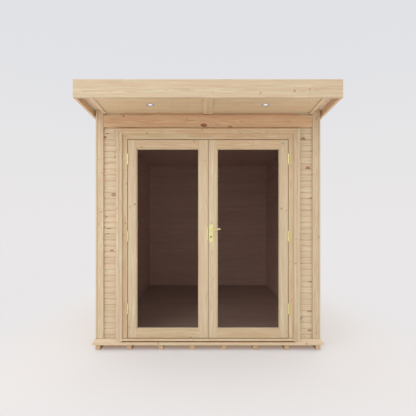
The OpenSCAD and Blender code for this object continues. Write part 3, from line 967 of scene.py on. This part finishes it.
def door_frame():
    """Jambs and head with the stop that the doors close on, and the sill with its nosing."""
    low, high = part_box("door_jambs")
    head_low, head_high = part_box("door_head")
    sill_low, sill_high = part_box("door_sill")
    face, back, stop_face = -low.y, -high.y, -sill_high.y
    opening, stop = high.x - JAMB_CLEAR, high.x - JAMB_T
    outline = [(opening, face), (high.x, face), (high.x, back), (stop, back)]
    outline += [(stop, stop_face), (opening, stop_face)]
    jambs = Piece("jambs")
    for side in SIDES:
        jambs.board((UP, side, FRONT), outline, low.z, high.z)
    # The jambs take the darker copy of the pine, which paints the shade beside the architraves
    jambs.timber(shade_painted, "door_jambs")

    head = Piece("head")
    outline = oblong((high.z, back), (head_high.z, face))
    head.board(FRONT_WALL, outline, head_low.x, head_high.x)
    outline = oblong((head_low.z, back), (high.z, stop_face))
    head.board(FRONT_WALL, outline, -stop, stop, ease=1 * MM)
    # The head takes the darker copy of the pine, which paints the shade under the canopy
    head.timber(shade_painted, "door_head")

    sill = Piece("sill")
    outline = oblong((sill_low.z, stop_face), (sill_high.z, face))
    sill.board(FRONT_WALL, outline, -opening, opening)
    outline = oblong((sill_low.z, face), (sill_high.z, -sill_low.y))
    sill.board(FRONT_WALL, outline, sill_low.x, sill_high.x, ease=4 * MM)
    # The sill takes the paler copy of the pine, which paints light onto it
    sill.timber(pale, "door_sill")


ARCH_BAND, ARCH_QUIRK = 28 * MM, 3.5 * MM
ARCH_STEP, ARCH_ARRIS = 3 * MM, 1 * MM
ARCH_SPLAY_W, ARCH_SPLAY_H = 2 * MM, 4 * MM


def arch_outline(inner, outer, scale, face, reach):
    """Cross-section of an architrave in front of the trims: a lower band, a V line and a proud band."""
    band = inner + ARCH_BAND * scale
    quirk = ARCH_QUIRK * scale
    front = face + reach
    lower = front - ARCH_STEP
    return [
        (inner, face),
        (inner, lower - ARCH_SPLAY_H),
        (inner + ARCH_SPLAY_W, lower),
        (band, lower),
        (band + quirk / 2, lower - ARCH_STEP),
        (band + quirk, front - ARCH_ARRIS),
        (band + quirk + ARCH_ARRIS, front),
        (outer - ARCH_STEP, front),
        (outer, front - ARCH_STEP),
        (outer, face),
    ]


def architraves():
    """Mitred architraves. A packing behind each, beside the door frame, runs back to the cladding."""
    low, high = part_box("side_architraves")
    head_low, head_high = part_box("head_architrave")
    face = -WALL_Y
    reach = -low.y - face
    inner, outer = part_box("door_sill")[1].x, high.x
    rise = (head_high.z - head_low.z) / (outer - inner)
    lean = tan(SKIRT_LEAN)
    mitre = (head_low.z - inner * rise, rise, 0.0)
    foot = (SKIRT_TOP + face / lean, 0.0, -1 / lean)
    sides = Piece("side_architrave_boards")
    front = arch_outline(inner, outer, 1.0, face, reach)
    packing = oblong((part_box("door_jambs")[1].x, face - CLAD), (outer, face))
    for side in SIDES:
        axes = (UP, side, FRONT)
        plank = sides.board(axes, front, foot, mitre, ease=0.6 * MM)
        sides.board(axes, packing, SKIRT_TOP, mitre, ease=0, **plank)
    sides.timber(planed, "side_architraves")

    head = Piece("head_architrave_board")
    front = arch_outline(head_low.z, head_high.z, rise, face, reach)
    packing = oblong((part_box("door_head")[1].z, face - CLAD), (head_high.z, face))
    across, slant = inner - head_low.z / rise, 1 / rise
    ends = (-across, -slant, 0.0), (across, slant, 0.0)
    plank = head.board(FRONT_WALL, front, *ends, ease=0.6 * MM)
    head.board(FRONT_WALL, packing, *ends, ease=0, **plank)
    # The head architrave takes the darker copy of the pine, which paints the canopy's shade; the side
    # architraves stay in the plain pine
    head.timber(shade_painted, "head_architrave")


# ---- Doors ----


STILE_EASE = 1 * MM
BEAD_FRONT, BEAD_BACK = 12 * MM, 8 * MM
BEAD_STEPS = 3
LIP_REACH, LIP_BACK = 6.2 * MM, 8.5 * MM
MEETING_CHAMFER = (16 * MM, 2.5 * MM)


def meeting_stile(edge, inner, back, face):
    """Outline of the left door's meeting stile: chamfered towards the gap, with a lip that covers
    the gap from behind and stays clear of the other door as it swings."""
    wide, deep = MEETING_CHAMFER
    lip, lip_face = edge - LIP_REACH, face - LIP_BACK
    front = [(inner, back), (inner, face), (edge + wide, face), (edge, face - deep)]
    return front + [(edge, lip_face), (lip, lip_face), (lip, back)]


def bead_ring(piece, low, high, out, face, back, width):
    """Four mitred glazing beads round a pane. Corners are (x, z); face and back are distances out.
    A bead has a flat by the frame, then a rounded face, and a thin edge on the glass."""
    thick = face - back
    turns = [pi / 2 * i / BEAD_STEPS for i in range(BEAD_STEPS + 1)]
    curve = [(0.45 + 0.5 * sin(t), 0.3 + 0.7 * cos(t)) for t in turns]
    section = [(0, 0), (0, 1), *curve, (1, 0.25), (1, 0)]
    for along, across, i, j in ((UP, RIGHT, 1, 0), (RIGHT, UP, 0, 1)):
        for edge, inward in ((low[j], 1), (high[j], -1)):
            outline = [(edge + inward * width * w, back + thick * b) for w, b in section]
            start = (low[i] - inward * edge, inward, 0.0)
            end = (high[i] + inward * edge, -inward, 0.0)
            piece.board((along, across, out), outline, start, end, ease=0.4 * MM)


def door(side, out):
    body = side + "_door"
    low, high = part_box(body + "_stiles")
    rail_low, rail_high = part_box(body + "_rails")
    glass_low, glass_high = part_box(body + "_glass")
    bead_low, bead_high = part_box(body + "_beads")
    face, back = -low.y, -high.y
    meet_edge, hinge_edge = sorted((abs(low.x), abs(high.x)))
    meet_in, hinge_in = sorted((abs(rail_low.x), abs(rail_high.x)))

    meeting = oblong((meet_edge, back), (meet_in, face))
    if side == "left":
        meeting = meeting_stile(meet_edge, meet_in, back, face)
    stiles = Piece(body + "_stile_pair")
    for outline in (meeting, oblong((hinge_in, back), (hinge_edge, face))):
        stiles.board((UP, out, FRONT), outline, low.z, high.z, ease=STILE_EASE)
    stiles.timber(planed, body + "_stiles", body=body)

    rails = Piece(body + "_rail_pair")
    for z0, z1 in ((low.z, glass_low.z), (glass_high.z, high.z)):
        rails.board((out, UP, FRONT), oblong((z0, back), (z1, face)), meet_in, hinge_in, ease=1.2 * MM)
    # The rails take the darker copy of the pine, which paints the canopy's shade of the top rail on
    # both rails
    rails.timber(shade_painted, body + "_rails", body=body)

    beads = Piece(body + "_bead_rings")
    pane = (glass_low.x, glass_low.z), (glass_high.x, glass_high.z)
    bead_ring(beads, *pane, FRONT, -bead_low.y, -glass_low.y, BEAD_FRONT)
    bead_ring(beads, *pane, BACK, bead_high.y, glass_high.y, BEAD_BACK)
    beads.timber(planed, body + "_beads", body=body)


# ---- Hinges and handle ----

HINGE_H, HINGE_X, HINGE_MIDDLE = 105 * MM, 803 * MM, 1138 * MM
HINGE_LOW, HINGE_HIGH = span("frame_hinges", UP)
HINGE_HEIGHTS = (HINGE_LOW + HINGE_H / 2, HINGE_MIDDLE, HINGE_HIGH - HINGE_H / 2)
HINGE_SCREW_R = 3.2 * MM
PIN_CLEAR = 0.5 * MM
KNUCKLE_R, KNUCKLE_GAP, KNUCKLE_EASE = 6.5 * MM, 0.5 * MM, 0.6 * MM
FLAP_W, FLAP_T, FLAP_GAP, FLAP_PROUD = 30 * MM, 2 * MM, 3 * MM, 0.5 * MM
FLAP_CORNER, FLAP_EASE = 4 * MM, 0.4 * MM
FLAP_SCREWS = (0.36, 0.68)
WEB_W, WEB_GAP = KNUCKLE_R + 2 * MM, 0.6 * MM
WEB_CORNER, WEB_EASE = 0.5 * MM, 0.2 * MM
KEEP_SCREWS, KEEP_SCREW_R = (0.1, 0.9), 2.6 * MM
KEEP_CORNER, KEEP_EASE = 2 * MM, 0.5 * MM


def barrel(radius, length, ease):
    """Knuckle of a hinge, standing on the origin, with eased ends."""
    half = [(0, 0), (radius - ease, 0), (radius, ease)]
    return lathe(half + [(r, length - z) for r, z in half[::-1]], ROUND)


def hinge_leaf(piece, side, wing, z):
    """Flap, knuckles and screws of half a hinge. Wing is 1 for the jamb's and -1 for the door's."""
    axis_x = side.x * HINGE_X
    face_x = axis_x + wing * (FLAP_GAP - FLAP_PROUD) * side.x
    pin_y = WALL_Y - KNUCKLE_R - PIN_CLEAR
    out = -wing * side
    thick = FLAP_T + FLAP_PROUD
    behind = -out * thick
    flap = facing(Vector((face_x, WALL_Y + FLAP_W / 2, z)) + behind, out)
    piece.take(plate(FLAP_W, HINGE_H, thick, FLAP_CORNER, FLAP_EASE), flap)
    third = HINGE_H / 3
    for i in (-1, 0, 1):
        if (i == 0) == (wing == -1):
            web = facing(Vector((face_x, pin_y + WEB_W / 2, z + i * third)) + behind, out)
            piece.take(plate(WEB_W, third - WEB_GAP, thick, WEB_CORNER, WEB_EASE), web)
            foot = (axis_x, pin_y, z + (i - 0.5) * third + KNUCKLE_GAP / 2)
            knuckle = barrel(KNUCKLE_R, third - KNUCKLE_GAP, KNUCKLE_EASE)
            piece.take(knuckle, Matrix.Translation(foot))
    for i in range(4):
        head = (face_x, WALL_Y + FLAP_SCREWS[i % 2] * FLAP_W, z + (i - 1.5) * HINGE_H / 4)
        screw(piece, facing(head, out), HINGE_SCREW_R)


def hinges():
    jamb_leaves = Piece("jamb_hinge_leaves")
    for side, body in zip(SIDES, ("left_door", "right_door")):
        door_leaves = Piece(body + "_hinge_leaves")
        for z in HINGE_HEIGHTS:
            hinge_leaf(jamb_leaves, side, 1, z)
            hinge_leaf(door_leaves, side, -1, z)
        door_leaves.finish("brass", brass, body + "_hinges", body=body)
    jamb_leaves.finish("brass", brass, "frame_hinges")


def keep():
    """Striking plate let into the left door's chamfer, with its two screws."""
    low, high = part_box("left_door_keep")
    piece = Piece("keep_plate")
    x, z = (low.x + high.x) / 2, (low.z + high.z) / 2
    back = high.y + MEETING_CHAMFER[1]
    made = plate(high.x - low.x, high.z - low.z, back - low.y, KEEP_CORNER, KEEP_EASE)
    piece.take(made, facing((x, back, z), FRONT))
    for share in KEEP_SCREWS:
        spot = (x, low.y, low.z + share * (high.z - low.z))
        screw(piece, facing(spot, FRONT), KEEP_SCREW_R)
    piece.finish("brass", brass, "left_door_keep", body="left_door")


LEVER_X, LEVER_Z = 31 * MM, 1199 * MM
LEVER_R, LEVER_BEND, LEVER_LIFT, LEVER_WAIST = 7.6 * MM, 13 * MM, 12 * MM, 2.8 * MM
LEVER_DROOP = 0.62
LEVER_TIP, LEVER_BLUNT, LEVER_TIP_TURNS = 9 * MM, 0.6, (25, 50, 70, 84)
LEVER_STEPS = 9
BOSS = sized(((0, 0), (13.5, 0), (13.5, 1), (12, 2.4), (0, 3)), MM, MM)
HANDLE_CORNER, HANDLE_BEVEL = 5 * MM, 1.4 * MM
KEYHOLE_Z = 1131 * MM
LOCK_R, LOCK_RISE = 8 * MM, 0.5 * MM
LOCK_H, LOCK_CORNER, LOCK_EASE = 2.4 * LOCK_R, LOCK_R / 2.2, 0.2 * MM
SCREW_INSET = 9 * MM


def handle_plates():
    """Back plates with bevelled edges, a boss round the spindle, a lock cylinder and screws."""
    low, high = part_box("handle_plates")
    plates, lock = Piece("handle_back_plates"), Piece("lock_cylinders")
    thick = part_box("right_door_stiles")[0].y - low.y
    for out, face in ((FRONT, low.y), (BACK, high.y)):
        at = Vector((LEVER_X, face, (low.z + high.z) / 2)) - out * thick
        made = plate(high.x - low.x, high.z - low.z, thick, HANDLE_CORNER, HANDLE_BEVEL)
        plates.take(made, facing(at, out))
        plates.take(lathe(BOSS, BOSS_ROUND), facing((LEVER_X, face, LEVER_Z), out))
        key = facing((LEVER_X, face, KEYHOLE_Z), out)
        lock.take(disc(LOCK_R, LOCK_RISE, ROUND), key)
        lock.take(plate(LOCK_R, LOCK_H, LOCK_RISE, LOCK_CORNER, LOCK_EASE), key)
        for z in (low.z + SCREW_INSET, high.z - SCREW_INSET):
            screw(plates, facing((LEVER_X, face, z), out))
    plates.finish("brass", brass, "handle_plates", body="right_door")
    lock.finish("brass", lock_metal, body="right_door")


def lever_path(reach, start, end, out):
    """Points and radii of a lever: a neck, a bend, then an arm that rises and droops at its tip."""
    arm_y = end - out.y * LEVER_R
    path = [(LEVER_X, start, 0.0, LEVER_R)]
    for i in range(LEVER_STEPS + 1):
        turn = pi / 2 * i / LEVER_STEPS
        y = arm_y - out.y * LEVER_BEND * (1 - sin(turn))
        path.append((LEVER_X + LEVER_BEND * (1 - cos(turn)), y, 0.0, LEVER_R))
    arm = reach - LEVER_BEND - LEVER_R
    for i in range(1, 2 * LEVER_STEPS + 1):
        share = i / (2 * LEVER_STEPS)
        lift = LEVER_LIFT * sin(pi * LEVER_DROOP * share) ** 2
        swell = (LEVER_TIP - LEVER_R) * share**3
        radius = LEVER_R + swell - LEVER_WAIST * sin(pi * share) ** 2
        path.append((LEVER_X + LEVER_BEND + arm * share, arm_y, lift, radius))
    for turn in map(radians, LEVER_TIP_TURNS):
        x = LEVER_X + LEVER_BEND + arm + LEVER_R * sin(turn)
        path.append((x, arm_y, lift, LEVER_TIP * cos(turn) ** LEVER_BLUNT))
    return [Vector((x, y, LEVER_Z + z)) for x, y, z, radius in path], [p[3] for p in path]


def lever():
    """Levers outside and inside on one spindle."""
    low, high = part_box("door_lever")
    door_low, door_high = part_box("right_door_stiles")
    piece = Piece("levers")
    inside = WALL_Y + door_high.y - door_low.y
    for out, start, end in ((FRONT, WALL_Y, low.y), (BACK, inside, high.y)):
        bar = tube(*lever_path(high.x - LEVER_X, start, end, out))
        piece.take(bar, Matrix.Identity(4), smooth=True)
    piece.finish("brass", brass, "door_lever", body="lever")


# ---- The object ----

walls()
corner_trims()
frieze()
bearers()
floor_boards()
skirt()
fascias()
soffit()
ceiling()
covering()
downlights()
door_frame()
architraves()
door("left", LEFT)
door("right", RIGHT)
hinges()
keep()
handle_plates()
lever()


def paint(node, look):
    """Gives a CAD node that stays its material."""
    mesh = frame["nodes"][node].data
    mesh.materials.clear()
    mesh.materials.append(look)


# The floor frame's dark red paints the shaded line under the sill
paint("floor_frame", frame_shade_red)
for node in ("floor_panel", "roof_deck"):
    paint(node, deck_timber)
for node in ("left_door_glass", "right_door_glass"):
    paint(node, glass)


# ---- Studio ----

BACKDROP_LOW, BACKDROP_TOP = srgb(233, 231, 231), srgb(225, 226, 230)
BACKDROP_RISE = 0.5
FLOOR_SEEN, FLOOR_BOUNCE = srgb(232, 228, 227), srgb(250, 245, 240)
# Painted bounce light: the warm tint of the ground under the walls, and where it fades in
FLOOR_PAINTED_BOUNCE = srgb(232, 200, 172)
BOUNCE_TINT_FROM, BOUNCE_TINT_TO = 0.02, -0.12
SHADOW_LIFT = 0.34
FLOOR_HALF = 60.0
FADE_FROM, FADE_TO = 0.15, 1.5
KEY_DISTANCE, KEY_SIZE = 9.0, 6.5
KEY_AROUND, KEY_UP = radians(-40), radians(25)
KEY_POWER, KEY_AIM_Z = 145.0, 1.2
LIGHT_SIDE, LIGHT_TOP = 0.66, 1.3
EYE_BACK, EYE_Z = 3.64, 1.264
LENS, SHIFT = 31.5, 0.0375


def seen_ray(g):
    """1 for rays whose answer is seen: from the camera, in a reflection or through glass."""
    path = g.node("LightPath").outputs
    straight = g.math("MAXIMUM", path["Is Camera Ray"], path["Is Glossy Ray"])
    return g.math("MAXIMUM", straight, path["Is Transmission Ray"])


def past(g, x, y, half_x, half_y):
    """How far a place is past the sides of an oblong about the origin."""
    beside = g.math("SUBTRACT", g.math("ABSOLUTE", x), half_x)
    before = g.math("SUBTRACT", g.math("ABSOLUTE", y), half_y)
    return g.math("MAXIMUM", beside, before)


def studio_floor():
    """Pale floor that keeps the object's shadow, lightened by a painted glow, and turns into the
    backdrop away from it.
    """
    bm = bmesh.new()
    bmesh.ops.create_grid(bm, x_segments=2, y_segments=2, size=FLOOR_HALF)
    mesh = bpy.data.meshes.new("studio_floor")
    bm.to_mesh(mesh)
    bm.free()
    made = added("studio_floor", mesh)
    g = material("studio_floor")
    x, y, z = g.parts(g.place())
    outside = past(g, x, y, ROOF_HALF, BACK_Y)
    # Painted light: near the object the floor glows at SHADOW_LIFT, which lightens the object's shadow
    # on it
    far = g.ease(outside, FADE_FROM, FADE_TO, SHADOW_LIFT, 1.0)
    share = g.product(far, seen_ray(g))
    # Painted bounce light: the ground under the walls gets a warm tint that stands for light bounced
    # off the timber
    from_middle = g.math("SUBTRACT", y, (WALL_Y + REAR_Y) / 2)
    under = g.ease(past(g, x, from_middle, HALF_W, (REAR_Y - WALL_Y) / 2), BOUNCE_TINT_FROM, BOUNCE_TINT_TO)
    colour = g.mix(seen_ray(g), FLOOR_BOUNCE, g.mix(under, FLOOR_SEEN, FLOOR_PAINTED_BOUNCE))
    near = g.node("BsdfDiffuse", {"Color": colour}).outputs[0]
    glow = g.node("Emission", {"Color": g.mix(under, BACKDROP_LOW, FLOOR_PAINTED_BOUNCE)}).outputs[0]
    mesh.materials.append(g.surface(g.node("MixShader", (share, near, glow)).outputs[0]))


def world():
    """Soft light from all round and more from above, seen as a backdrop that cools upwards."""
    made = bpy.data.worlds.new("studio")
    bpy.context.scene.world = made
    g = Graph(made)
    x, y, z = g.parts(g.node("TexCoord").outputs["Generated"])
    backdrop = g.mix(g.ease(z, 0.0, BACKDROP_RISE), BACKDROP_LOW, BACKDROP_TOP)
    strength = g.ease(z, 0.0, 1.0, LIGHT_SIDE, LIGHT_TOP)
    lit = g.node("Background", {"Color": (1, 1, 1, 1), "Strength": strength}).outputs[0]
    seen = g.node("Background", {"Color": backdrop, "Strength": 1.0}).outputs[0]
    mixed = g.node("MixShader", (seen_ray(g), lit, seen)).outputs[0]
    g.node("OutputWorld", {"Surface": mixed})


def key_light():
    """Large soft lamp in front, to the left and above."""
    lamp = bpy.data.lights.new("key", "AREA")
    lamp.shape = "DISK"
    lamp.size = KEY_SIZE
    lamp.energy = KEY_POWER
    made = added("key", lamp)
    level, rise = KEY_DISTANCE * cos(KEY_UP), KEY_DISTANCE * sin(KEY_UP)
    aim = Vector((0, WALL_Y, KEY_AIM_Z))
    made.location = aim + Vector((level * sin(KEY_AROUND), -level * cos(KEY_AROUND), rise))
    made.rotation_euler = (aim - made.location).to_track_quat("-Z", "Y").to_euler()


def camera():
    lens = bpy.data.cameras.new("camera")
    lens.lens = LENS
    lens.shift_y = SHIFT
    made = added("camera", lens)
    made.location = (0, WALL_Y - EYE_BACK, EYE_Z)
    made.rotation_euler = (radians(90), 0, 0)
    bpy.context.scene.camera = made


studio_floor()
world()
key_light()
camera()
bpy.context.scene.view_settings.view_transform = "Standard"
